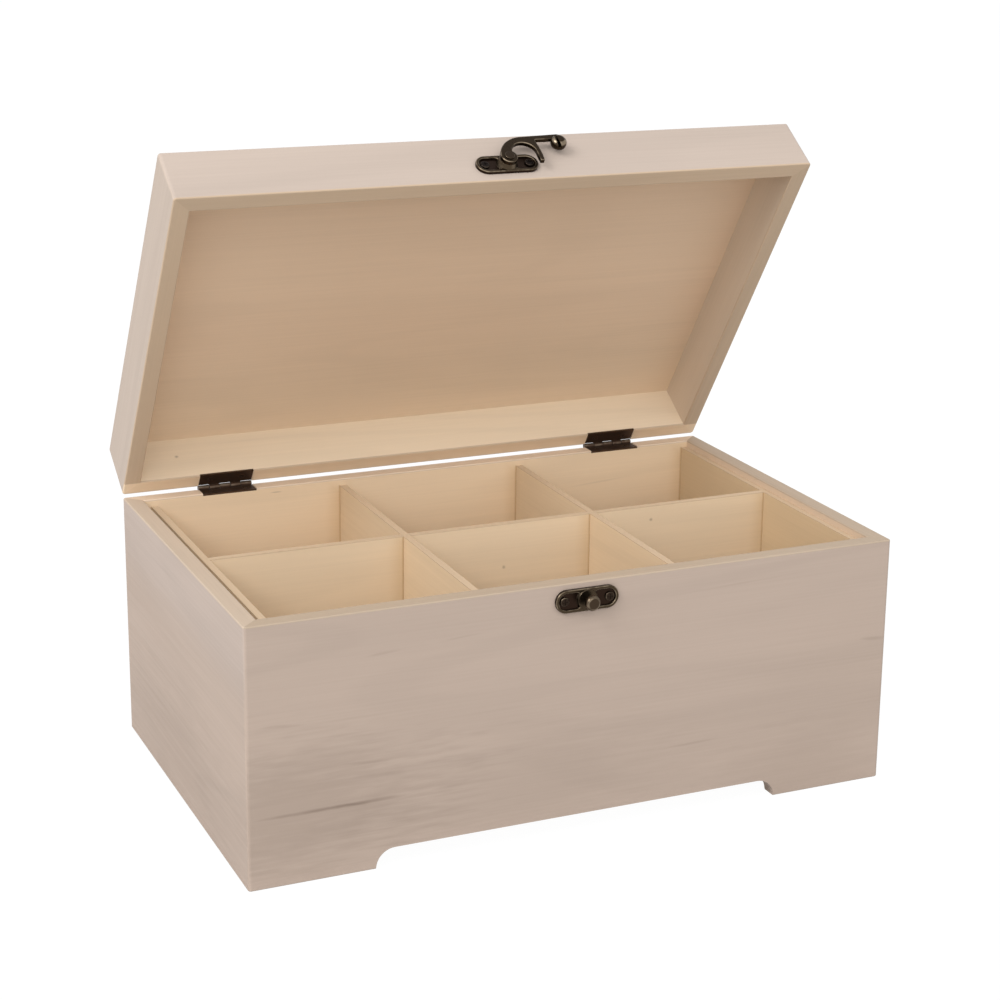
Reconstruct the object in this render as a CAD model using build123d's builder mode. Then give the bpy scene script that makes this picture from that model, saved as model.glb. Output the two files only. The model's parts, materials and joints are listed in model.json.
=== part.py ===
from build123d import *
from math import cos, radians, sin
import os

os.makedirs("parts", exist_ok=True)

# Box: four mitred boards round a floor panel
width = 290.0
depth = 181.0
body_height = 110.5
wall = 7.5
corner_round = 1.4
edge_round = 0.6
foot_length = 53.2
arch_height = 8.2
floor_height = 10.4
floor_thickness = 3.0
groove_depth = 3.0
panel_fit = 0.1

# Loose insert of thin boards that makes the six compartments
insert_board = 3.0
insert_drop = 3.2
insert_play_across = 3.4
insert_play_deep = 5.0
dado_depth = 1.0
lap_fit = 0.05

# Lid: four mitred rails with a panel let into their top
lid_height = 27.0
lid_gap = 0.3
lid_panel_thickness = 4.0
rebate_width = 4.0
lid_round = 0.8
open_angle = 56.0

# Two butt hinges let into the rims
hinge_length = 25.0
hinge_inset = 47.6
knuckle_count = 5
knuckle_radius = 1.25
knuckle_gap = 0.15
pin_radius = 0.55
pin_fit = 0.05
pin_behind = 1.05
leaf_thickness = 0.7
leaf_reach = 8.4
leaf_fit = 0.15
leaf_clearance = 0.25
hinge_screw_spread = 15.0
hinge_screw_length = 7.0

# Pressed plates of the latch and the catch
plate_length = 28.2
plate_width = 9.8
plate_sheet = 0.6
rim_height = 1.6
rim_width = 1.4
rim_round = 0.5
bridge_width = 5.4
hollow_round = 2.6
boss_radius = 4.8
boss_taper = 22.5
latch_boss_height = 3.5
catch_boss_height = 1.9
plate_screw_spread = 20.2
latch_rise = 9.0
latch_aside = 0.5
catch_drop = 7.4
catch_aside = -0.55

# Screws
screw_shank_radius = 0.75
screw_tip = 1.5
screw_fit = 0.05
pan_radius = 2.0
pan_height = 0.9
pan_round = 0.5
plate_screw_length = 6.0
countersunk_radius = 1.4
cross_width = 0.45
cross_length = 2.0
cross_depth = 0.35

# Catch post
post_reach = 7.8
neck_radius = 1.0
neck_length = 3.8
knob_radius = 3.3
knob_round = 1.7
post_shank_radius = 0.8
post_shank_length = 5.0

# Swing hook and its rivet
hook_thickness = 1.9
hook_slip = 0.1
hook_boss_radius = 3.7
hook_round = 0.5
curl_radius = 5.45
curl_across = 7.9
curl_up = 2.4
arm_left = 3.5
arm_left_up = 1.1
arm_bend_across = 0.5
arm_bend_up = 8.1
arm_end_across = 8.5
arm_end_up = 11.5
strip_end_across = 28.2
strip_top = 12.2
strip_width = 2.9
strip_end_round = 2.6
claw_across = 14.7
claw_bow_across = 15.45
claw_bow_up = 2.0
claw_tip_across = 15.15
claw_tip_down = 3.4
claw_tip_round = 0.4
notch_round = 0.8
ball_across = 25.6
ball_up = 7.6
ball_radius = 3.5
ball_thickness = 5.1
ball_clearance = 0.4
ball_round = 2.3
cleft_width = 1.1
cleft_depth = 2.4
cleft_bow = 1.5
rivet_radius = 1.25
rivet_fit = 0.05
rivet_head_radius = 2.1
rivet_head_height = 0.45
rivet_head_round = 0.3

overrun = 1.0

# Places that follow from the sizes
turn = radians(open_angle)
rise = lid_gap / 2 + lid_height
lid_reach = pin_behind + lid_round - (pin_behind + lid_round) * cos(turn)
lid_reach = lid_reach + (rise - lid_round) * sin(turn)
mid_y = (post_reach - lid_reach) / 2
front_y = mid_y - depth / 2
hinge_y = mid_y + depth / 2 + pin_behind
hinge_z = body_height + lid_gap / 2
mortise_depth = knuckle_radius - lid_gap / 2
hook_rise = latch_boss_height + hook_slip
arch_width = width - 2 * foot_length
hinge_spread = width - 2 * hinge_inset
inner_width = width - 2 * wall
inner_depth = depth - 2 * wall

base = Plane((0, mid_y, 0))
lid_turn = Location((0, hinge_y, hinge_z), (-open_angle, 0, 0)) * Location((0, -hinge_y, -hinge_z))


def on_lid(plane):
    """The plane carried from the closed lid to the open lid at rest."""
    return Plane(lid_turn * plane.location)


def front_plane(height, aside=0):
    """A plane on the front face at a height, with Y up and the normal towards the user."""
    return Plane((aside, front_y, height), x_dir=(1, 0, 0), z_dir=(0, -1, 0))


lid_base = on_lid(base.offset(body_height + lid_gap))
catch_face = front_plane(body_height - catch_drop, catch_aside)
latch_face = on_lid(front_plane(body_height + lid_gap + latch_rise, latch_aside))


def board_ring(plane, height, top_round):
    """The outline of the four boards as one ring, with the edges of its rims sanded."""
    with BuildPart() as ring:
        with BuildSketch(plane):
            RectangleRounded(width, depth, corner_round)
            Rectangle(inner_width, inner_depth, mode=Mode.SUBTRACT)
        extrude(amount=height)
        levels = ring.faces().sort_by(Axis(plane.origin, plane.z_dir))
        fillet(levels[-1].edges(), top_round)
        fillet(levels[0].edges(), edge_round)
    return ring


def mitre_wedge(side):
    """The corners of the region that one board keeps between its two 45 degree mitres."""
    half_width, half_depth = width / 2, depth / 2
    reach = half_width - half_depth
    if side == "front":
        return [(-half_width, -half_depth), (half_width, -half_depth), (reach, 0), (-reach, 0)]
    if side == "back":
        return [(-half_width, half_depth), (half_width, half_depth), (reach, 0), (-reach, 0)]
    if side == "left":
        return [(-half_width, -half_depth), (-half_width, half_depth), (-reach, 0)]
    return [(half_width, -half_depth), (half_width, half_depth), (reach, 0)]


def mitred_board(ring, plane, height, side):
    """One board cut out of the ring along its mitres."""
    with BuildPart() as board:
        add(ring.part)
        with BuildSketch(plane):
            with BuildLine():
                Polyline(*mitre_wedge(side), close=True)
            make_face()
        extrude(amount=height, mode=Mode.INTERSECT)
    return board


def hinge_screw_places():
    """The middles of the screw holes of both hinges, on the rim's middle line."""
    return [
        (hinge * hinge_spread / 2 + end * hinge_screw_spread / 2, depth / 2 - wall / 2)
        for hinge in (-1, 1)
        for end in (-1, 1)
    ]


def mortises(plane, into):
    """The seats of the hinge leaves with their screw holes, to be cut into a rim."""
    with BuildPart() as seats:
        with BuildSketch(plane):
            with GridLocations(hinge_spread, depth, 2, 1):
                with Locations((0, depth / 2)):
                    Rectangle(hinge_length + 2 * leaf_fit, 2 * wall + leaf_fit)
        extrude(amount=into * mortise_depth)
        with BuildSketch(plane):
            with Locations(*hinge_screw_places()):
                Circle(screw_shank_radius + screw_fit)
        extrude(amount=into * (mortise_depth + hinge_screw_length))
    return seats


def plate_holes(face):
    """The holes for the two screws of a plate."""
    with BuildPart() as holes:
        with BuildSketch(face):
            with GridLocations(plate_screw_spread, 0, 2, 1):
                Circle(screw_shank_radius + screw_fit)
        extrude(amount=-plate_screw_length)
    return holes


# Box frame with its arches, floor groove, hinge seats and catch holes, cut into four boards
box_ring = board_ring(base, body_height, edge_round)
with BuildPart() as box_frame:
    add(box_ring.part)
    with BuildSketch(front_plane(0)):
        SlotOverall(arch_width, 2 * arch_height)
    extrude(amount=-depth, mode=Mode.SUBTRACT)
    with BuildSketch(base.offset(floor_height)):
        Rectangle(inner_width + 2 * groove_depth, inner_depth + 2 * groove_depth)
    extrude(amount=floor_thickness + panel_fit, mode=Mode.SUBTRACT)
    add(mortises(base.offset(body_height), -1).part, mode=Mode.SUBTRACT)
    add(plate_holes(catch_face).part, mode=Mode.SUBTRACT)
    with BuildSketch(catch_face):
        Circle(post_shank_radius + screw_fit)
    extrude(amount=-post_shank_length - screw_fit, mode=Mode.SUBTRACT)

for side in ("front", "back", "left", "right"):
    board = mitred_board(box_frame, base, body_height, side)
    board.part.label = side + "_wall"
    export_step(board.part, "parts/" + side + "_wall.step")

# Floor panel, resting on the lower lip of the groove
with BuildPart() as floor_panel:
    with BuildSketch(base.offset(floor_height)):
        Rectangle(
            inner_width + 2 * (groove_depth - panel_fit),
            inner_depth + 2 * (groove_depth - panel_fit),
        )
    extrude(amount=floor_thickness)
floor_panel.part.label = "floor_panel"
export_step(floor_panel.part, "parts/floor_panel.step")

# Insert: pushed against the right and back walls, its boards half-lapped and let into the ends
insert_foot = floor_height + floor_thickness
insert_height = body_height - insert_drop - insert_foot
insert_length = inner_width - insert_play_across
insert_depth = inner_depth - insert_play_deep
insert_x = insert_play_across / 2
insert_y = mid_y + insert_play_deep / 2
bay_length = (insert_length - 4 * insert_board) / 3
end_offset = (insert_length - insert_board) / 2
cross_offset = (bay_length + insert_board) / 2
slot_width = insert_board + 2 * lap_fit
insert_base = Plane((insert_x, insert_y, insert_foot))

for side, sign in (("left", -1), ("right", 1)):
    with BuildPart() as end_board:
        with BuildSketch(insert_base):
            with Locations((sign * end_offset, 0)):
                Rectangle(insert_board, insert_depth)
            with Locations((sign * (end_offset - insert_board / 2), 0)):
                Rectangle(2 * dado_depth, slot_width, mode=Mode.SUBTRACT)
        extrude(amount=insert_height)
    end_board.part.label = side + "_end_board"
    export_step(end_board.part, "parts/" + side + "_end_board.step")

divider_view = Plane((insert_x, insert_y, insert_foot), x_dir=(1, 0, 0), z_dir=(0, -1, 0))
with BuildPart() as long_divider:
    with BuildSketch(divider_view):
        with Locations((0, insert_height / 2)):
            Rectangle(insert_length - 2 * (insert_board - dado_depth) - 2 * lap_fit, insert_height)
        with Locations((-cross_offset, insert_height), (cross_offset, insert_height)):
            Rectangle(slot_width, insert_height + 2 * lap_fit, mode=Mode.SUBTRACT)
    extrude(amount=insert_board / 2, both=True)
long_divider.part.label = "long_divider"
export_step(long_divider.part, "parts/long_divider.step")

for side, sign in (("left", -1), ("right", 1)):
    cross_view = Plane(
        (insert_x + sign * cross_offset, insert_y, insert_foot), x_dir=(0, 1, 0), z_dir=(1, 0, 0)
    )
    with BuildPart() as cross_divider:
        with BuildSketch(cross_view):
            with Locations((0, insert_height / 2)):
                Rectangle(insert_depth, insert_height)
            Rectangle(slot_width, insert_height, mode=Mode.SUBTRACT)
        extrude(amount=insert_board / 2, both=True)
    cross_divider.part.label = side + "_cross_divider"
    export_step(cross_divider.part, "parts/" + side + "_cross_divider.step")

# Lid frame with its rebate, hinge seats and latch holes, cut into four rails
lid_ring = board_ring(lid_base, lid_height, lid_round)
panel_seat = lid_height - lid_panel_thickness
with BuildPart() as lid_frame:
    add(lid_ring.part)
    with BuildSketch(lid_base.offset(panel_seat)):
        Rectangle(inner_width + 2 * rebate_width, inner_depth + 2 * rebate_width)
    extrude(amount=lid_panel_thickness, mode=Mode.SUBTRACT)
    add(mortises(lid_base, 1).part, mode=Mode.SUBTRACT)
    add(plate_holes(latch_face).part, mode=Mode.SUBTRACT)

for side in ("front", "back", "left", "right"):
    rail = mitred_board(lid_frame, lid_base, lid_height, side)
    rail.part.label = "lid_" + side + "_rail"
    export_step(rail.part, "parts/lid_" + side + "_rail.step")

with BuildPart() as lid_panel:
    with BuildSketch(lid_base.offset(panel_seat)):
        Rectangle(
            inner_width + 2 * (rebate_width - panel_fit),
            inner_depth + 2 * (rebate_width - panel_fit),
        )
    extrude(amount=lid_panel_thickness)
lid_panel.part.label = "lid_panel"
export_step(lid_panel.part, "parts/lid_panel.step")


def countersunk_screw(plane):
    """A flat-headed screw with its head flush with the plane and its shank below."""
    with BuildPart() as screw:
        with BuildSketch(Plane(plane.origin, x_dir=plane.x_dir, z_dir=-plane.y_dir)):
            with BuildLine():
                Polyline(
                    (0, 0),
                    (countersunk_radius, 0),
                    (screw_shank_radius, -leaf_thickness),
                    (screw_shank_radius, screw_tip - hinge_screw_length),
                    (0, -hinge_screw_length),
                    close=True,
                )
            make_face()
        revolve(axis=Axis(plane.origin, plane.z_dir))
        with BuildSketch(plane):
            Rectangle(cross_length, cross_width)
            Rectangle(cross_width, cross_length)
        extrude(amount=-cross_depth, mode=Mode.SUBTRACT)
    return screw


def hinge_leaf(hinge_x, carry, up, owned):
    """One leaf: a plate tangent to its knuckles, which are cut to pass between the other leaf's."""
    start = hinge_x - hinge_length / 2
    step = hinge_length / knuckle_count
    leaf_middle = up * (knuckle_radius - leaf_thickness / 2)
    neck = knuckle_radius + leaf_clearance
    with BuildPart() as leaf:
        end_view = carry(Plane((start, hinge_y, hinge_z), x_dir=(0, 1, 0), z_dir=(1, 0, 0)))
        with BuildSketch(end_view):
            with Locations((-(leaf_reach + neck) / 2, leaf_middle)):
                Rectangle(leaf_reach - neck, leaf_thickness)
        extrude(amount=hinge_length)
        for index in owned:
            before = knuckle_gap if index > 0 else 0
            after = knuckle_gap if index < knuckle_count - 1 else 0
            with BuildSketch(end_view.offset(index * step + before)):
                Circle(knuckle_radius)
                with Locations((-(neck + overrun) / 2, leaf_middle)):
                    Rectangle(neck + overrun, leaf_thickness)
            extrude(amount=step - before - after)
        with BuildSketch(end_view):
            Circle(pin_radius + pin_fit)
        extrude(amount=hinge_length, mode=Mode.SUBTRACT)
        face_height = hinge_z + up * (knuckle_radius - leaf_thickness)
        screw_y = mid_y + depth / 2 - wall / 2
        for end in (-1, 1):
            hole = (hinge_x + end * hinge_screw_spread / 2, screw_y, face_height)
            seat = carry(Plane(hole, x_dir=(1, 0, 0), z_dir=(0, 0, -up)))
            with Locations(seat):
                CounterSinkHole(screw_shank_radius + screw_fit, countersunk_radius + screw_fit)
    return leaf


def stay(plane):
    """The plane as it is, for pieces of the box."""
    return plane


lower_knuckles = range(0, knuckle_count, 2)
upper_knuckles = range(1, knuckle_count, 2)
for side, sign in (("left", -1), ("right", 1)):
    hinge_x = sign * hinge_spread / 2

    lower_leaf = hinge_leaf(hinge_x, stay, -1, lower_knuckles)
    lower_leaf.part.label = side + "_hinge_box_leaf"
    export_step(lower_leaf.part, "parts/" + side + "_hinge_box_leaf.step")

    upper_leaf = hinge_leaf(hinge_x, on_lid, 1, upper_knuckles)
    upper_leaf.part.label = side + "_hinge_lid_leaf"
    export_step(upper_leaf.part, "parts/" + side + "_hinge_lid_leaf.step")

    with BuildPart() as hinge_pin:
        with BuildSketch(Plane((hinge_x - hinge_length / 2, hinge_y, hinge_z), z_dir=(1, 0, 0))):
            Circle(pin_radius)
        extrude(amount=hinge_length)
    hinge_pin.part.label = side + "_hinge_pin"
    export_step(hinge_pin.part, "parts/" + side + "_hinge_pin.step")

leaf_level = knuckle_radius - leaf_thickness
with BuildPart() as hinge_box_screws:
    for x, y in hinge_screw_places():
        add(countersunk_screw(Plane((x, mid_y + y, hinge_z - leaf_level))).part)
hinge_box_screws.part.label = "hinge_box_screws"
export_step(hinge_box_screws.part, "parts/hinge_box_screws.step")

with BuildPart() as hinge_lid_screws:
    for x, y in hinge_screw_places():
        head = Plane((x, mid_y + y, hinge_z + leaf_level), x_dir=(1, 0, 0), z_dir=(0, 0, -1))
        add(countersunk_screw(on_lid(head)).part)
hinge_lid_screws.part.label = "hinge_lid_screws"
export_step(hinge_lid_screws.part, "parts/hinge_lid_screws.step")


def fitting_plate(face, boss_height, middle_radius):
    """A pressed plate: raised rim, a hollow at each end and a boss on the bridge between them."""
    with BuildPart() as plate:
        with BuildSketch(face):
            SlotOverall(plate_length, plate_width)
        extrude(amount=rim_height)
        with BuildSketch(face.offset(plate_sheet)):
            SlotOverall(plate_length - 2 * rim_width, plate_width - 2 * rim_width)
            Rectangle(bridge_width, plate_width, mode=Mode.SUBTRACT)
            bridge_corners = vertices().sort_by_distance((0, 0, 0))[:4]
            fillet(bridge_corners, hollow_round)
        extrude(amount=rim_height, mode=Mode.SUBTRACT)
        outward = Axis(face.origin, face.z_dir)
        fillet(plate.faces().sort_by(outward)[-1].edges(), rim_round)
        with BuildSketch(face.offset(plate_sheet)):
            Circle(boss_radius)
        extrude(amount=boss_height - plate_sheet, taper=boss_taper)
        with BuildSketch(face):
            Circle(middle_radius + screw_fit)
            with GridLocations(plate_screw_spread, 0, 2, 1):
                Circle(screw_shank_radius + screw_fit)
        extrude(amount=boss_height, mode=Mode.SUBTRACT)
    return plate


def plate_screws(face):
    """Two pan-headed screws, their heads standing on the floors of the plate's hollows."""
    with BuildPart() as screws:
        floor = face.offset(plate_sheet)
        with BuildSketch(floor):
            with GridLocations(plate_screw_spread, 0, 2, 1):
                Circle(pan_radius)
        extrude(amount=pan_height)
        outward = Axis(face.origin, face.z_dir)
        for top in screws.faces().sort_by(outward)[-2:]:
            fillet(top.edges(), pan_round)
        with BuildSketch(floor):
            with GridLocations(plate_screw_spread, 0, 2, 1):
                Circle(screw_shank_radius)
        extrude(amount=-plate_screw_length)
        with BuildSketch(floor.offset(pan_height)):
            with GridLocations(plate_screw_spread, 0, 2, 1):
                Rectangle(cross_length, cross_width)
                Rectangle(cross_width, cross_length)
        extrude(amount=-cross_depth, mode=Mode.SUBTRACT)
    return screws


# Catch on the box: plate, screws and the headed post that the hook goes round
catch_plate = fitting_plate(catch_face, catch_boss_height, post_shank_radius)
catch_plate.part.label = "catch_plate"
export_step(catch_plate.part, "parts/catch_plate.step")

catch_screws = plate_screws(catch_face)
catch_screws.part.label = "catch_screws"
export_step(catch_screws.part, "parts/catch_screws.step")

post_outward = Axis(catch_face.origin, catch_face.z_dir)
neck_end = catch_boss_height + neck_length
with BuildPart() as catch_post:
    with BuildSketch(catch_face.offset(-post_shank_length)):
        Circle(post_shank_radius)
    extrude(amount=post_shank_length + catch_boss_height)
    with BuildSketch(catch_face.offset(catch_boss_height)):
        Circle(neck_radius)
    extrude(amount=neck_length)
    with BuildSketch(catch_face.offset(neck_end)):
        Circle(knob_radius)
    extrude(amount=post_reach - neck_end)
    fillet(catch_post.faces().sort_by(post_outward)[-1].edges(), knob_round)
catch_post.part.label = "catch_post"
export_step(catch_post.part, "parts/catch_post.step")

# Latch on the lid: plate, screws, rivet and swing hook
latch_plate = fitting_plate(latch_face, latch_boss_height, rivet_radius)
latch_plate.part.label = "latch_plate"
export_step(latch_plate.part, "parts/latch_plate.step")

latch_screws = plate_screws(latch_face)
latch_screws.part.label = "latch_screws"
export_step(latch_screws.part, "parts/latch_screws.step")

latch_outward = Axis(latch_face.origin, latch_face.z_dir)
rivet_seat = hook_rise + hook_thickness + hook_slip
with BuildPart() as latch_rivet:
    with BuildSketch(latch_face):
        Circle(rivet_radius)
    extrude(amount=rivet_seat)
    with BuildSketch(latch_face.offset(rivet_seat)):
        Circle(rivet_head_radius)
    extrude(amount=rivet_head_height)
    fillet(latch_rivet.faces().sort_by(latch_outward)[-1].edges(), rivet_head_round)
latch_rivet.part.label = "latch_rivet"
export_step(latch_rivet.part, "parts/latch_rivet.step")

hook_back = latch_face.offset(hook_rise)
ball_back = latch_face.offset(rim_height + ball_clearance)
cleft_reach = ball_radius + overrun
with BuildPart() as ball:
    with BuildSketch(ball_back):
        with Locations((ball_across, ball_up)):
            Circle(ball_radius)
    extrude(amount=ball_thickness)
    fillet(ball.edges().filter_by(GeomType.CIRCLE), ball_round)
    with BuildSketch(ball_back.offset(ball_thickness)):
        with Locations((ball_across, ball_up)):
            with BuildLine() as cleft:
                ThreePointArc((0, cleft_reach), (-cleft_bow, 0), (0, -cleft_reach))
            SlotArc(cleft.edge(), cleft_width)
    extrude(amount=-cleft_depth, mode=Mode.SUBTRACT)

claw_inner = curl_across + curl_radius
strip_foot = strip_top - strip_width


def hook_corner(across, up):
    """The corner of the hook's outline nearest to a place."""
    return vertices().sort_by_distance((across, up, 0))[0]


with BuildPart() as latch_hook:
    with BuildSketch(hook_back):
        with BuildLine():
            ThreePointArc(
                (-arm_left, arm_left_up),
                (arm_bend_across, arm_bend_up),
                (arm_end_across, arm_end_up),
            )
            Line((arm_end_across, arm_end_up), (strip_end_across, strip_top))
            Line((strip_end_across, strip_top), (strip_end_across, strip_foot))
            Line((strip_end_across, strip_foot), (claw_across, strip_foot))
            ThreePointArc(
                (claw_across, strip_foot),
                (claw_bow_across, claw_bow_up),
                (claw_tip_across, -claw_tip_down),
            )
            Line((claw_tip_across, -claw_tip_down), (claw_inner, -claw_tip_down))
            Line((claw_inner, -claw_tip_down), (claw_inner, curl_up))
            ThreePointArc(
                (claw_inner, curl_up),
                (curl_across, curl_up + curl_radius),
                (curl_across - curl_radius, curl_up),
            )
            Line((curl_across - curl_radius, curl_up), (-arm_left, arm_left_up))
        make_face()
        fillet(hook_corner(claw_across, strip_foot), notch_round)
        fillet(hook_corner(strip_end_across, strip_top), strip_end_round)
        fillet(hook_corner(claw_tip_across, -claw_tip_down), claw_tip_round)
        fillet(hook_corner(claw_inner, -claw_tip_down), claw_tip_round)
        Circle(hook_boss_radius)
    extrude(amount=hook_thickness)
    fillet(latch_hook.faces().sort_by(latch_outward)[-1].outer_wire().edges(), hook_round)
    add(ball.part)
    with BuildSketch(hook_back):
        Circle(rivet_radius + rivet_fit)
    extrude(amount=hook_thickness, mode=Mode.SUBTRACT)
latch_hook.part.label = "latch_hook"
export_step(latch_hook.part, "parts/latch_hook.step")
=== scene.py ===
import json
from math import cos, radians, sin

import bpy
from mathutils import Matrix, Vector


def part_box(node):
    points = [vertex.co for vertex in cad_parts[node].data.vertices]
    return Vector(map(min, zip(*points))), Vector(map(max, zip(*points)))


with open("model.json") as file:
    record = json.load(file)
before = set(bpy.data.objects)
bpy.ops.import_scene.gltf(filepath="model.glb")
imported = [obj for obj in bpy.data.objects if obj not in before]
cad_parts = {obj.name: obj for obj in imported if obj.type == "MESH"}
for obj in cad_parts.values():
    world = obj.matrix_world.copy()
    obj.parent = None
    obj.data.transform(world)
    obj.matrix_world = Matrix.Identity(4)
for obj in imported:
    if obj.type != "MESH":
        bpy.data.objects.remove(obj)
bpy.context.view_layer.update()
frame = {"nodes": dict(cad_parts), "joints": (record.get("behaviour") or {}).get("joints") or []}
nodes = frame["nodes"]

# The four boards of the box: pale, light softwood, planed and left raw.
# They are mitred and glued at the corners, with the grain running level all the way round.
# Their faces inside the box are paler and warmer than the outside, partly the wood's own tone and
# partly painted light that makes up for the shade inside the box. The sawn rim is a little warmer
# than the outside.


def put(tree, kind, inputs=(), **settings):
    """Adds a shader node, whose inputs are given as values or as other nodes' outputs."""
    node = tree.nodes.new("ShaderNode" + kind)
    for key, value in settings.items():
        setattr(node, key, value)
    for key, value in dict(inputs).items():
        if isinstance(value, bpy.types.NodeSocket):
            tree.links.new(value, node.inputs[key])
        else:
            node.inputs[key].default_value = value
    return node


def maths(tree, operation, *values):
    """Joins values and outputs by one arithmetic operation."""
    return put(tree, "Math", dict(enumerate(values)), operation=operation).outputs[0]


def ramp(tree, value, low, high, to_low=0.0, to_high=1.0):
    """Carries a value from the range low to high smoothly to the range to_low to to_high."""
    inputs = {0: value, 1: low, 2: high, 3: to_low, 4: to_high}
    return put(tree, "MapRange", inputs, interpolation_type="SMOOTHSTEP").outputs[0]


def mixed(tree, share, first, second):
    """Blends two colours by a share."""
    node = tree.nodes.new("ShaderNodeMix")
    node.data_type = "RGBA"
    sockets = (node.inputs[0], node.inputs[6], node.inputs[7])
    for socket, value in zip(sockets, (share, first, second)):
        if isinstance(value, bpy.types.NodeSocket):
            tree.links.new(value, socket)
        else:
            socket.default_value = value
    return node.outputs[2]


def within(tree, place, low, high, blur):
    """1 inside the box between two corners and 0 outside, with a soft edge."""
    middle = tuple((a + b) / 2 for a, b in zip(low, high))
    half = tuple((b - a) / 2 for a, b in zip(low, high))
    offset = put(tree, "VectorMath", {0: place, 1: middle}, operation="SUBTRACT").outputs[0]
    folded = put(tree, "VectorMath", {0: offset}, operation="ABSOLUTE").outputs[0]
    beyond = put(tree, "VectorMath", {0: folded, 1: half}, operation="SUBTRACT").outputs[0]
    axes = put(tree, "SeparateXYZ", {0: beyond}).outputs
    furthest = maths(tree, "MAXIMUM", maths(tree, "MAXIMUM", axes[0], axes[1]), axes[2])
    return ramp(tree, furthest, -blur, blur, 1.0, 0.0)


# Each noise: cells to the metre across and along the grain, detail and distortion.
BANDS = (26.0, 2.2, 4.0, 0.5)
RINGS = (11.0, 1.5, 2.0, 0.2)
FIBRES = (1100.0, 14.0, 2.0, 0.0)
PORES = (190.0, 7.0, 3.0, 0.3)
FRAY = (500.0, 60.0, 2.0, 0.0)
# How much each of them darkens the wood at most.
BAND_SHADE = 0.03
RING_SHADE = 0.028
FIBRE_SHADE = 0.07
PORE_SHADE = 0.04
# The stretch of each noise or wave over which it comes in.
BAND_RANGE = (0.3, 0.7)
RING_RANGE = (0.2, 1.0)
FIBRE_RANGE = (0.2, 0.8)
PORE_RANGE = (0.66, 0.78)
MARK_RANGE = (0.55, 1.35)
RING_WAVES = 70.0
FRAY_REACH = 0.9
WOOD_ROUGHNESS = (0.56, 0.70)
WOOD_SHEEN = 0.3
WOOD_RELIEF = {"Strength": 0.35, "Distance": 0.00008}
FIBRE_HEIGHT = 0.7
RING_HEIGHT = 0.3
FLECK_AND_SHADE = (0.150, 0.105, 0.075)


def raw_wood(name, grain, colour, shift, zones=(), marks=(), closing=None, figure=1.0):
    """Raw planed wood. Noise drawn out along the grain gives soft bands, its contour lines give
    the growth rings, and finer noise the fibres. The shift picks each board's own stretch of it.
    Each zone is a box whose faces have another colour: its two corners, that colour and the width
    of its soft edge. Some zones are the wood's own tone, others painted light and painted shade.
    Each mark is a dark spot, small for a fleck and broad for painted shade: centre, half sizes and
    tilt in metres and radians, and its strength. Pieces of the lid are read as if it were closed."""
    material = bpy.data.materials.new(name)
    material.use_nodes = True
    tree = material.node_tree
    shader = tree.nodes["Principled BSDF"]
    place = put(tree, "TexCoord").outputs["Object"]
    if closing:
        turn, slide = closing
        inputs = {"Vector": place, "Rotation": turn, "Location": slide}
        place = put(tree, "Mapping", inputs).outputs[0]

    def noise(across, along, detail, distortion):
        stretch = [across, across, across]
        stretch[grain] = along
        inputs = {"Vector": place, "Location": shift, "Scale": stretch}
        drawn_out = put(tree, "Mapping", inputs).outputs[0]
        inputs = {"Vector": drawn_out, "Scale": 1.0, "Detail": detail, "Distortion": distortion}
        return put(tree, "TexNoise", inputs).outputs["Fac"]

    band_shade = BAND_SHADE * figure
    ring_shade = RING_SHADE * figure
    pore_shade = PORE_SHADE * figure
    bands = ramp(tree, noise(*BANDS), *BAND_RANGE, -band_shade, band_shade)
    waves = maths(tree, "SINE", maths(tree, "MULTIPLY", noise(*RINGS), RING_WAVES))
    rings = ramp(tree, waves, *RING_RANGE)
    fibres = noise(*FIBRES)
    pores = ramp(tree, noise(*PORES), *PORE_RANGE)

    face = put(tree, "RGB").outputs[0]
    face.default_value = (*colour, 1)
    for low, high, zone_colour, blur in zones:
        face = mixed(tree, within(tree, place, low, high, blur), face, (*zone_colour, 1))
    darken = maths(tree, "MULTIPLY", rings, ring_shade)
    darken = maths(tree, "ADD", darken, maths(tree, "MULTIPLY", pores, pore_shade))
    darken = maths(tree, "ADD", darken, maths(tree, "MULTIPLY", fibres, FIBRE_SHADE))
    darken = maths(tree, "ADD", darken, bands)
    keep = maths(tree, "SUBTRACT", 1.0, darken)
    face = put(tree, "VectorMath", {0: face, 3: keep}, operation="SCALE").outputs[0]
    for centre, half_size, tilt, strength in marks:
        inputs = {"Vector": place, "Location": centre, "Rotation": tilt, "Scale": half_size}
        spot = put(tree, "Mapping", inputs, vector_type="TEXTURE").outputs[0]
        reach = put(tree, "VectorMath", {0: spot}, operation="LENGTH").outputs["Value"]
        frayed = maths(tree, "ADD", reach, maths(tree, "MULTIPLY", noise(*FRAY), FRAY_REACH))
        share = ramp(tree, frayed, *MARK_RANGE, strength, 0.0)
        face = mixed(tree, share, face, (*FLECK_AND_SHADE, 1))
    tree.links.new(face, shader.inputs["Base Color"])

    roughness = ramp(tree, fibres, *FIBRE_RANGE, *WOOD_ROUGHNESS)
    tree.links.new(roughness, shader.inputs["Roughness"])
    shader.inputs["Specular IOR Level"].default_value = WOOD_SHEEN
    height = maths(tree, "MULTIPLY", fibres, FIBRE_HEIGHT)
    height = maths(tree, "ADD", height, maths(tree, "MULTIPLY", rings, RING_HEIGHT))
    bump = put(tree, "Bump", {"Height": height, **WOOD_RELIEF})
    tree.links.new(bump.outputs[0], shader.inputs["Normal"])
    return material


def finish_node(name, material):
    """Gives a node of the frame its finish."""
    for slot in nodes[name].material_slots:
        slot.material = material


ALONG_X = 0
ALONG_Y = 1
OUTSIDE = (0.480, 0.379, 0.313)
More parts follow.
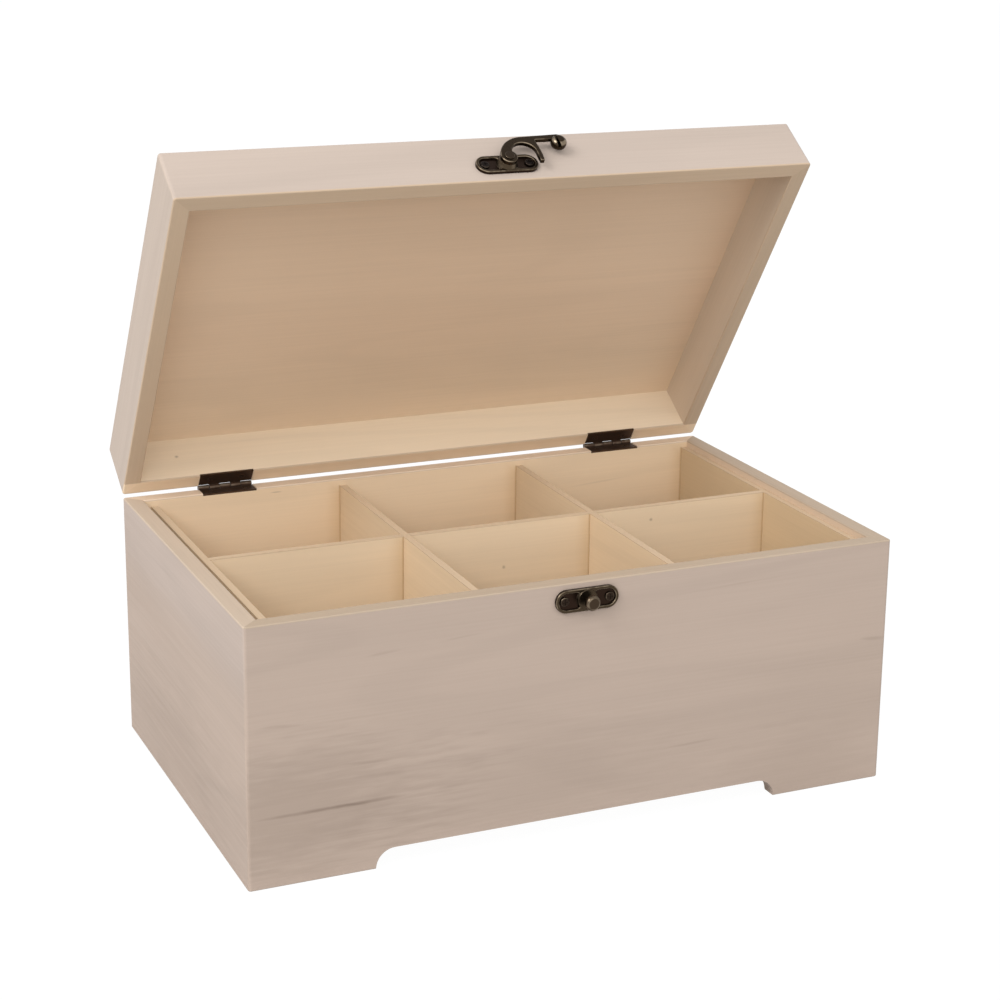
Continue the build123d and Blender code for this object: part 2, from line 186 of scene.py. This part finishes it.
# Painted light in part: the inside faces are paler than the outside to make up for the shade
# inside the box.
INSIDE = (0.833, 0.645, 0.443)
RIM = (0.470, 0.370, 0.276)
LEFT_RIM = (0.560, 0.450, 0.350)
# Painted light: the back rim is paler to make up for the shade under the open lid.
BACK_RIM_LIGHT = (0.740, 0.590, 0.450)
# Painted light: the top of the left board is paler, where more light falls from above.
LEFT_TOP_LIGHT = (0.515, 0.420, 0.362)

# The sawn rim's depth, how far a zone reaches past a face or past the whole box, its edges'
# crisp and soft blur, and where the painted light on the top of the left board begins.
RIM_DEPTH = 0.0006
MARGIN = 0.0004
BEYOND = 1.0
CRISP = 0.0003
SOFT = 0.012
LEFT_TOP_LIGHT_Z = 0.085
front_low, front_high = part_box("front_wall")
back_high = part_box("back_wall")[1]
left_low, left_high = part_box("left_wall")
insert_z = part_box("long_divider")[1].z
wall = left_high.x - left_low.x
inner_x = front_high.x - wall + MARGIN
inner_front = front_low.y + wall - MARGIN
inner_back = back_high.y - wall + MARGIN
rim_z = front_high.z
sawn_z = rim_z - RIM_DEPTH

# Zones of the boards: the corners of a box, the colour in it and its soft edge.
BOX_ZONES = [
    ((-inner_x, inner_front, 0.0), (inner_x, inner_back, sawn_z), INSIDE, CRISP),
    ((-BEYOND, -BEYOND, sawn_z), (BEYOND, BEYOND, BEYOND), RIM, CRISP),
]
LEFT_ZONES = [
    ((-BEYOND, -BEYOND, LEFT_TOP_LIGHT_Z), (-inner_x - MARGIN, BEYOND, BEYOND), LEFT_TOP_LIGHT, SOFT),
    *BOX_ZONES,
    ((-BEYOND, -BEYOND, sawn_z), (-inner_x, BEYOND, BEYOND), LEFT_RIM, CRISP),
]
# Painted shade where boards of the insert meet a face: share of its colour, half width and soft
# edge.
JOINT_TINTS = [
    ((0.93, 0.90, 0.84), 0.0040, 0.0040),
    ((0.68, 0.58, 0.46), 0.0005, 0.0006),
]
JOINING_BOARDS = ("left_cross_divider", "right_cross_divider", "right_end_board")


def joint_shade(colour):
    """Zones of painted shade in the corners, wide and narrow, left of the boards that meet a face
    across Y.
    """
    zones = []
    for tint, reach, blur in JOINT_TINTS:
        shaded = tuple(share * part for share, part in zip(tint, colour))
        for board in JOINING_BOARDS:
            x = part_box(board)[0].x
            low, high = (x - reach, -BEYOND, -BEYOND), (x + reach, BEYOND, insert_z)
            zones.append((low, high, shaded, blur))
    return zones


BACK_ZONES = [
    BOX_ZONES[0],
    *joint_shade(INSIDE),
    ((-BEYOND, inner_back, -BEYOND), (BEYOND, BEYOND, sawn_z), OUTSIDE, CRISP),
    ((-BEYOND, -BEYOND, sawn_z), (BEYOND, back_high.y - RIM_DEPTH, BEYOND), BACK_RIM_LIGHT, CRISP),
]

# Flecks of the front and the back board, and broad patches of painted shade low on the front:
# x and z, half length and height, tilt and strength.
FRONT_FLECKS_AND_SHADE = [
    (-0.116, 0.0300, 0.034, 0.0013, 0.00, 0.50),
    (-0.094, 0.0302, 0.026, 0.0010, 0.00, 0.25),
    (-0.089, 0.0920, 0.010, 0.0009, -0.06, 0.12),
    (-0.057, 0.0939, 0.012, 0.0009, -0.06, 0.12),
    (0.048, 0.0312, 0.020, 0.0010, -0.03, 0.14),
    (-0.130, 0.0679, 0.013, 0.0011, 0.08, 0.13),
    (-0.096, 0.0471, 0.015, 0.0009, 0.08, 0.12),
    (0.070, 0.1002, 0.052, 0.0008, -0.04, 0.08),
    (0.138, 0.0663, 0.009, 0.0012, 0.10, 0.15),
    # The last three are painted shade: broad, soft darkening towards the bottom of the front.
    (-0.130, 0.0320, 0.110, 0.0460, 0.00, 0.22),
    (-0.020, 0.0240, 0.110, 0.0420, 0.00, 0.08),
    (0.105, 0.0100, 0.060, 0.0340, 0.00, 0.09),
]
BACK_FLECKS = [
    (0.090, 0.0945, 0.022, 0.0007, -0.07, 0.10),
    (-0.076, 0.1075, 0.0042, 0.0005, 0.00, 0.35),
]
FLECK_DEPTH = 0.003
LEVEL = (0, 0, 0)
# Painted shade: a broad, soft darkening low on the left board, where less light falls.
LEFT_SHADE_Z = 0.020
LEFT_SHADE_SIZE = (FLECK_DEPTH, 0.160, 0.052)
LEFT_SHADE_STRENGTH = 0.13


def marks_on_face(face_y, rows):
    """Marks on a board's face across Y."""
    return [
        ((x, face_y, z), (length, FLECK_DEPTH, height), (0, tilt, 0), strength)
        for x, z, length, height, tilt, strength in rows
    ]


front_marks = marks_on_face(front_low.y, FRONT_FLECKS_AND_SHADE)
back_marks = marks_on_face(inner_back, BACK_FLECKS)
left_shade = ((left_low.x, 0, LEFT_SHADE_Z), LEFT_SHADE_SIZE, LEVEL, LEFT_SHADE_STRENGTH)
BOX_BOARDS = [
    ("front_wall", ALONG_X, (0.3, 1.7, 4.1), BOX_ZONES, front_marks),
    ("back_wall", ALONG_X, (7.3, 2.9, 1.3), BACK_ZONES, back_marks),
    ("left_wall", ALONG_Y, (3.1, 5.2, 9.4), LEFT_ZONES, [left_shade]),
    ("right_wall", ALONG_Y, (8.2, 0.6, 2.7), BOX_ZONES, []),
]
for name, grain, shift, zones, marks in BOX_BOARDS:
    finish_node(name, raw_wood(name, grain, OUTSIDE, shift, zones, marks))

# The floor panel: a thin, slightly yellow board.
# It lies loose in a groove round the four boards, above the arches.
THIN_WOOD = (0.746, 0.580, 0.391)
finish_node("floor_panel", raw_wood("floor_panel", ALONG_X, THIN_WOOD, (2.2, 6.1, 3.3)))

# The drop-in insert: five boards of the same thin wood, with painted shade on their top edges.
# They are half-lapped where they cross and stand loose on the floor panel.
LONG_DIVIDER = (0.770, 0.612, 0.428)
RIGHT_END = (0.655, 0.495, 0.312)
# Painted shade: the top edges are darker to cancel the light that falls on them from above.
SHADED_TOP_EDGE = (0.610, 0.466, 0.320)
shaded_edge_zone = ((-BEYOND, -BEYOND, insert_z - MARGIN), (BEYOND, BEYOND, BEYOND), SHADED_TOP_EDGE, CRISP)
DOTS = [(0.0029, 0.0871), (0.0758, 0.1007)]
DOT_SIZE = (0.0013, FLECK_DEPTH, 0.0012)
DOT_STRENGTH = 0.45
divider_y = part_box("long_divider")[0].y
dot_marks = [((x, divider_y, z), DOT_SIZE, LEVEL, DOT_STRENGTH) for x, z in DOTS]
divider_zones = joint_shade(LONG_DIVIDER)
INSERT_BOARDS = [
    ("long_divider", ALONG_X, LONG_DIVIDER, (5.5, 3.7, 8.8), divider_zones, dot_marks),
    ("left_end_board", ALONG_Y, THIN_WOOD, (1.1, 7.7, 6.4), [], []),
    ("right_end_board", ALONG_Y, RIGHT_END, (9.1, 4.3, 0.8), [], []),
    ("left_cross_divider", ALONG_Y, THIN_WOOD, (6.6, 8.3, 5.1), [], []),
    ("right_cross_divider", ALONG_Y, THIN_WOOD, (4.8, 1.9, 7.2), [], []),
]
for name, grain, colour, shift, zones, marks in INSERT_BOARDS:
    finish_node(name, raw_wood(name, grain, colour, shift, [*zones, shaded_edge_zone], marks))

# The lid's frame: four mitred rails of the same wood as the box.
# Their finish is laid out for the closed lid, so its turn about the hinge pins is undone.
lid_hinge = frame["joints"][0]
lid_turn = radians(-lid_hinge["range_deg"][0])
pin_y, pin_z = lid_hinge["pos_m"][1:]
slide_y = pin_y - pin_y * cos(lid_turn) + pin_z * sin(lid_turn)
slide_z = pin_z - pin_y * sin(lid_turn) - pin_z * cos(lid_turn)
closing = ((lid_turn, 0, 0), (0, slide_y, slide_z))

# Of the shut lid: its gap over the rim of the box, and the panel's inner face above its own rim.
LID_GAP = 0.0003
PANEL_FACE = 0.0230
LID_OUTSIDE = (0.532, 0.437, 0.366)
LID_FRONT = (0.510, 0.420, 0.358)
# Painted light in part: the lid's inside faces are paler than its outside to make up for the shade
# under the open lid.
LID_INSIDE = (0.820, 0.675, 0.500)
LID_RIM = (0.573, 0.431, 0.301)
# Painted light: the back rim of the lid is paler to make up for the shade above the box's back
# rim.
LID_BACK_RIM_LIGHT = (0.830, 0.650, 0.460)
panel_z = rim_z + LID_GAP + PANEL_FACE + MARGIN
lid_sawn_z = rim_z + LID_GAP + RIM_DEPTH
back_rim_y = back_high.y - RIM_DEPTH
LID_ZONES = [
    ((-inner_x, inner_front, lid_sawn_z), (inner_x, inner_back, panel_z), LID_INSIDE, CRISP),
    ((-BEYOND, -BEYOND, 0.0), (BEYOND, BEYOND, lid_sawn_z), LID_RIM, CRISP),
    ((-BEYOND, inner_back, 0.0), (BEYOND, back_rim_y, lid_sawn_z), LID_BACK_RIM_LIGHT, CRISP),
]
KNOT_X = -0.1179
KNOT_Z = 0.1236
KNOT_SIZE = (0.0013, FLECK_DEPTH, 0.0011)
KNOT_STRENGTH = 0.50
knot = ((KNOT_X, inner_back, KNOT_Z), KNOT_SIZE, LEVEL, KNOT_STRENGTH)
LID_RAILS = [
    ("lid_front_rail", ALONG_X, LID_FRONT, (2.4, 3.6, 7.9), []),
    ("lid_back_rail", ALONG_X, LID_OUTSIDE, (6.9, 9.3, 2.8), [knot]),
    ("lid_left_rail", ALONG_Y, LID_OUTSIDE, (5.8, 2.1, 4.4), []),
    ("lid_right_rail", ALONG_Y, LID_OUTSIDE, (0.9, 6.6, 3.9), []),
]
for name, grain, colour, shift, marks in LID_RAILS:
    finish_node(name, raw_wood(name, grain, colour, shift, LID_ZONES, marks, closing))

# The lid's panel: a thin board with a quieter figure. It is paler than the rails, partly as
# painted light that makes up for the shade under the open lid, with painted shade towards its
# front and painted light towards its back.
# It lies in a rebate of the rails, flush with them on the outside.
# Painted light in part: the panel is paler than the rails to make up for the shade under the open
# lid.
PANEL = (0.811, 0.614, 0.439)
# Painted shade towards the front of the panel and painted light towards its back, by the hinge.
PANEL_FRONT_SHADE = (0.765, 0.572, 0.405)
PANEL_BACK_LIGHT = (0.820, 0.645, 0.468)
PANEL_SHIFT = (3.4, 8.5, 1.6)
PANEL_FIGURE = 0.6
FADE = 0.030
outer_z = panel_z + RIM_DEPTH
PANEL_ZONES = [
    ((-BEYOND, -BEYOND, -BEYOND), (BEYOND, -FADE, BEYOND), PANEL_FRONT_SHADE, FADE),
    ((-BEYOND, FADE, -BEYOND), (BEYOND, BEYOND, BEYOND), PANEL_BACK_LIGHT, FADE),
    ((-BEYOND, -BEYOND, outer_z), (BEYOND, BEYOND, BEYOND), LID_OUTSIDE, CRISP),
]
panel_wood = raw_wood(
    "lid_panel", ALONG_X, PANEL, PANEL_SHIFT, PANEL_ZONES, [], closing, PANEL_FIGURE
)
finish_node("lid_panel", panel_wood)

# The two butt hinges: leaves pressed in thin brass, rolled round a pin and screwed down.
# A dark brown lacquer covers them. Along the rounded edges pale bare metal shows, partly where the
# lacquer is rubbed thin and partly as painted highlight.
EDGE = 0.0002
EDGE_SAMPLES = 6
PATCHES = {"Scale": 300.0, "Detail": 4.0}
PITS = {"Scale": 1500.0, "Detail": 3.0}
PIT_RELIEF = {"Strength": 0.2, "Distance": 0.00005}
# Pale bare metal, which stands both for wear and for painted highlight on the rounded edges.
BARE_AND_HIGHLIGHT = (0.330, 0.262, 0.185)
HOLLOW_COAT = (0.026, 0.014, 0.009)
# How squarely a face looks outwards where the pale rub and painted highlight is none and where it
# is full.
# It comes in on rounded edges and is gone again on flat faces, and the patches hold back some of
# it.
RUB_AND_HIGHLIGHT_IN = (0.2, 0.6)
RUB_AND_HIGHLIGHT_OUT = (0.97, 0.88)
PATCH_RUB_AND_HIGHLIGHT = (0.38, 0.62, 0.15, 1.0)
PATCH_RANGE = (0.2, 0.8)
ROUGHNESS_SPREAD = 0.12
# Heights over the seat at which a hollow is fully dark and at which its dark ends.
HOLLOW_FLOOR = 0.0008
HOLLOW_TOP = 0.0013


def antiqued(names, number, coat, outward, worn_and_highlit, metallic=0.95, smooth=0.24, seat=None):
    """Gives nodes one finish of antiqued brass. Its rounded edges, where the normal leans away
    from the outward direction, turn to pale bare metal in places, partly as wear and partly as
    painted highlight, and the number picks those places. Where it has a seat, which is read along
    that direction, the hollows that reach down towards it are darker."""
    material = bpy.data.materials.new(names[0])
    material.use_nodes = True
    tree = material.node_tree
    shader = tree.nodes["Principled BSDF"]
    coordinates = put(tree, "TexCoord").outputs
    place, leaning = coordinates["Object"], coordinates["Normal"]
    shift = (1.0 + number, 2.0, 3.0 - number)
    moved = put(tree, "Mapping", {"Vector": place, "Location": shift}).outputs[0]
    patches = put(tree, "TexNoise", {"Vector": moved, **PATCHES}).outputs["Fac"]
    pits = put(tree, "TexNoise", {"Vector": moved, **PITS}).outputs["Fac"]
    inputs = {0: leaning, 1: outward}
    facing = put(tree, "VectorMath", inputs, operation="DOT_PRODUCT").outputs["Value"]
    rounded = maths(tree, "MULTIPLY", ramp(tree, facing, *RUB_AND_HIGHLIGHT_IN), ramp(tree, facing, *RUB_AND_HIGHLIGHT_OUT))
    rubbed = maths(tree, "MULTIPLY", rounded, ramp(tree, patches, *PATCH_RUB_AND_HIGHLIGHT))
    share = maths(tree, "MULTIPLY", rubbed, worn_and_highlit)
    colour = (*coat, 1)
    if seat is not None:
        inputs = {0: place, 1: outward}
        along = put(tree, "VectorMath", inputs, operation="DOT_PRODUCT").outputs["Value"]
        sunk = ramp(tree, along, seat + HOLLOW_FLOOR, seat + HOLLOW_TOP, 1.0, 0.0)
        colour = mixed(tree, sunk, colour, (*HOLLOW_COAT, 1))
    tree.links.new(mixed(tree, share, colour, (*BARE_AND_HIGHLIGHT, 1)), shader.inputs["Base Color"])
    shader.inputs["Metallic"].default_value = metallic
    roughness = ramp(tree, patches, *PATCH_RANGE, smooth, smooth + ROUGHNESS_SPREAD)
    tree.links.new(roughness, shader.inputs["Roughness"])
    softened = put(tree, "Bevel", {"Radius": EDGE}, samples=EDGE_SAMPLES).outputs[0]
    bump = put(tree, "Bump", {"Height": pits, "Normal": softened, **PIT_RELIEF})
    tree.links.new(bump.outputs[0], shader.inputs["Normal"])
    for name in names:
        finish_node(name, material)


UP = (0, 0, 1)
lid_down = (0, -sin(lid_turn), -cos(lid_turn))
HINGE_COAT = (0.086, 0.050, 0.031)
PIN_COAT = (0.130, 0.104, 0.092)
BOX_LEAVES = ["left_hinge_box_leaf", "right_hinge_box_leaf"]
LID_LEAVES = ["left_hinge_lid_leaf", "right_hinge_lid_leaf"]
PINS = ["left_hinge_pin", "right_hinge_pin"]
antiqued(BOX_LEAVES, 0, HINGE_COAT, UP, worn_and_highlit=0.5, metallic=0.7, smooth=0.38)
antiqued(LID_LEAVES, 1, HINGE_COAT, lid_down, worn_and_highlit=0.4, metallic=0.7, smooth=0.42)
antiqued(PINS, 2, PIN_COAT, UP, worn_and_highlit=0.6, metallic=0.8, smooth=0.35)
antiqued(["hinge_box_screws"], 3, HINGE_COAT, UP, worn_and_highlit=0.5, metallic=0.8, smooth=0.32)
antiqued(["hinge_lid_screws"], 4, HINGE_COAT, lid_down, worn_and_highlit=0.4, metallic=0.7, smooth=0.38)

# The catch on the box: a pressed plate with two small screws and a turned post.
# The hook closes behind the knob of the post. Lacquer lies dark in the hollows of the plate.
FORWARD = (0, -1, 0)
PLATE_COAT = (0.058, 0.040, 0.024)
CATCH_SCREW_COAT = (0.030, 0.019, 0.013)
POST_COAT = (0.056, 0.037, 0.023)
antiqued(["catch_plate"], 5, PLATE_COAT, FORWARD, worn_and_highlit=0.8, seat=-front_low.y)
antiqued(["catch_screws"], 6, CATCH_SCREW_COAT, FORWARD, worn_and_highlit=0.6)
antiqued(["catch_post"], 7, POST_COAT, FORWARD, worn_and_highlit=0.5)

# The latch on the lid: the same plate with its two screws, and a rivet on which the hook turns.
# The hook is cast in one piece and is a little glossier, with more pale metal on its rounded
# edges, partly wear and partly painted highlight.
lid_forward = (0, -cos(lid_turn), sin(lid_turn))
lid_seat = slide_y - front_low.y
LATCH_SCREW_COAT = (0.018, 0.012, 0.010)
RIVET_COAT = (0.040, 0.026, 0.016)
HOOK_COAT = (0.034, 0.022, 0.012)
antiqued(["latch_plate"], 8, PLATE_COAT, lid_forward, worn_and_highlit=0.7, seat=lid_seat)
antiqued(["latch_screws"], 9, LATCH_SCREW_COAT, lid_forward, worn_and_highlit=0.25)
antiqued(["latch_rivet"], 10, RIVET_COAT, lid_forward, worn_and_highlit=0.5)
antiqued(["latch_hook"], 11, HOOK_COAT, lid_forward, worn_and_highlit=0.8, smooth=0.22)

# The studio: a white table that keeps a faint shadow, under a plain white sky.
# One soft lamp stands on the left and one in front, and the camera looks down from the left.
HALF_TABLE = 15.0
corners = [(x * HALF_TABLE, y * HALF_TABLE, 0) for x, y in ((-1, -1), (1, -1), (1, 1), (-1, 1))]
table_mesh = bpy.data.meshes.new("table")
table_mesh.from_pydata(corners, [], [(0, 1, 2, 3)])
table_top = bpy.data.objects.new("table", table_mesh)
bpy.context.scene.collection.objects.link(table_top)
PAPER = (0.55, 0.55, 0.55, 1)
PAPER_ROUGHNESS = 0.9
PAPER_GLOW = 1.05
GLOW_SHARE = 0.93
WHITE = (1, 1, 1, 1)
paper = bpy.data.materials.new("paper")
paper.use_nodes = True
paper_tree = paper.node_tree
paper_diffuse = paper_tree.nodes["Principled BSDF"]
paper_diffuse.inputs["Base Color"].default_value = PAPER
paper_diffuse.inputs["Roughness"].default_value = PAPER_ROUGHNESS
paths = put(paper_tree, "LightPath").outputs
seen = maths(paper_tree, "MAXIMUM", paths["Is Camera Ray"], paths["Is Glossy Ray"])
seen = maths(paper_tree, "MAXIMUM", seen, paths["Is Transmission Ray"])
glow = put(paper_tree, "Emission", {"Color": WHITE, "Strength": PAPER_GLOW}).outputs[0]
share = maths(paper_tree, "MULTIPLY", seen, GLOW_SHARE)
surface = put(paper_tree, "MixShader", {0: share, 1: paper_diffuse.outputs[0], 2: glow}).outputs[0]
paper_tree.links.new(surface, paper_tree.nodes["Material Output"].inputs["Surface"])
table_mesh.materials.append(paper)

SKY_LIGHT = 0.85
world = bpy.data.worlds.new("studio")
bpy.context.scene.world = world
world.use_nodes = True
world_tree = world.node_tree
sky = world_tree.nodes["Background"]
paths = put(world_tree, "LightPath").outputs
shown = maths(world_tree, "MAXIMUM", paths["Is Camera Ray"], paths["Is Transmission Ray"])
strength = ramp(world_tree, shown, 0.0, 1.0, SKY_LIGHT, 1.0)
sky.inputs["Color"].default_value = WHITE
world_tree.links.new(strength, sky.inputs["Strength"])

BOX_MIDDLE = Vector((0, 0, 0.12))
# Each lamp: where it stands, the side of its square in metres and its power in watts.
SOFT_LAMPS = {
    "left": ((-1.75, -0.80, 1.75), 1.1, 30.4),
    "front": ((-0.60, -2.50, 1.60), 2.5, 24.0),
}
for name, (place, side, power) in SOFT_LAMPS.items():
    lamp = bpy.data.lights.new(name, "AREA")
    lamp.size = side
    lamp.energy = power
    holder = bpy.data.objects.new(name, lamp)
    holder.location = place
    away = Vector(place) - BOX_MIDDLE
    holder.rotation_euler = away.to_track_quat("Z", "Y").to_euler()
    bpy.context.scene.collection.objects.link(holder)

SENSOR = 36.0
LENS = 81.2535
CAMERA_SHIFT = (-0.05, -0.0493)
CAMERA_PLACE = (-0.379013, -0.876118, 0.410430)
CAMERA_TURN = (74.169465, -0.937769, -24.626969)
NEAREST = 0.05
FURTHEST = 60.0
camera_data = bpy.data.cameras.new("camera")
camera_data.sensor_width = SENSOR
camera_data.lens = LENS
camera_data.shift_x, camera_data.shift_y = CAMERA_SHIFT
camera_data.clip_start = NEAREST
camera_data.clip_end = FURTHEST
camera = bpy.data.objects.new("camera", camera_data)
camera.location = CAMERA_PLACE
camera.rotation_euler = [radians(angle) for angle in CAMERA_TURN]
bpy.context.scene.collection.objects.link(camera)
bpy.context.scene.camera = camera
bpy.context.scene.view_settings.view_transform = "Standard"
